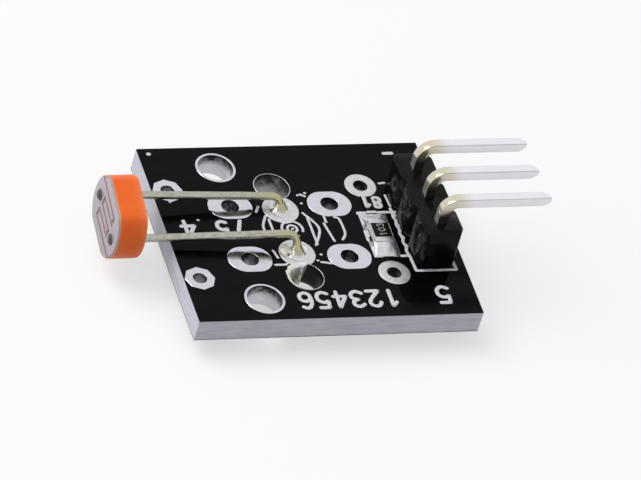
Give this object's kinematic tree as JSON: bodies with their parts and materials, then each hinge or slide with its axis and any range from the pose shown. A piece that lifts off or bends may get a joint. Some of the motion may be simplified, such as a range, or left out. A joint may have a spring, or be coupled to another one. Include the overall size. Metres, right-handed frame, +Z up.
{
  "type": "photoresistor module",
  "caption": "Photoresistor on bent wire leads, soldered to a small black circuit board with a chip resistor, plated mounting holes and an angled pin header for reading the light level.",
  "frame": {"origin": "under the middle of the whole part, level with the tips of the soldered tails that it stands on", "axes": "+X from the sensor to the tips of the header pins, +Y across the board, +Z up out of the component side"},
  "size_m": [0.0276, 0.015, 0.0076],
  "materials": {
    "board_laminate": "cut glass-fibre laminate",
    "solder_mask": "black satin solder mask",
    "copper": "bare copper under the mask",
    "tin_plating": "bright tin plating",
    "sensor_ceramic": "fired white ceramic",
    "photoconductor": "orange glossy coat",
    "electrode_film": "pale metal film under clear varnish",
    "lead_wire": "dull tinned wire",
    "lead_bond": "dark conductive paste",
    "solder": "bright solder",
    "resistor_ceramic": "white alumina",
    "resistor_overcoat": "dark glass overcoat",
    "resistor_terminal": "tinned end caps",
    "header_plastic": "black moulded plastic",
    "pin_plating": "pale plated brass"
  },
  "bodies": {
    "root": {"board_core": "board_laminate", "solder_mask_top": "solder_mask", "solder_mask_bottom": "solder_mask", "traces_top": "copper", "traces_bottom": "copper", "mounting_hole_plating": "tin_plating", "locating_hole_plating": "tin_plating", "edge_pads": "tin_plating", "left_oval_pads": "tin_plating", "right_oval_pads": "tin_plating", "sensor_pads": "tin_plating", "spare_pads": "tin_plating", "header_pads": "tin_plating", "resistor_lands": "tin_plating", "sensor_base": "sensor_ceramic", "sensor_coat": "photoconductor", "electrode_far": "electrode_film", "electrode_near": "electrode_film", "lead_far": "lead_wire", "lead_near": "lead_wire", "lead_bond_far": "lead_bond", "lead_bond_near": "lead_bond", "lead_solder_far": "solder", "lead_solder_near": "solder", "resistor_substrate": "resistor_ceramic", "resistor_overcoat": "resistor_overcoat", "resistor_terminal_far": "resistor_terminal", "resistor_terminal_near": "resistor_terminal", "resistor_solder_far": "solder", "resistor_solder_near": "solder", "header_housing": "header_plastic", "header_pin_far": "pin_plating", "header_pin_middle": "pin_plating", "header_pin_near": "pin_plating", "header_solder_far": "solder", "header_solder_middle": "solder", "header_solder_near": "solder"}
  },
  "joints": []
}
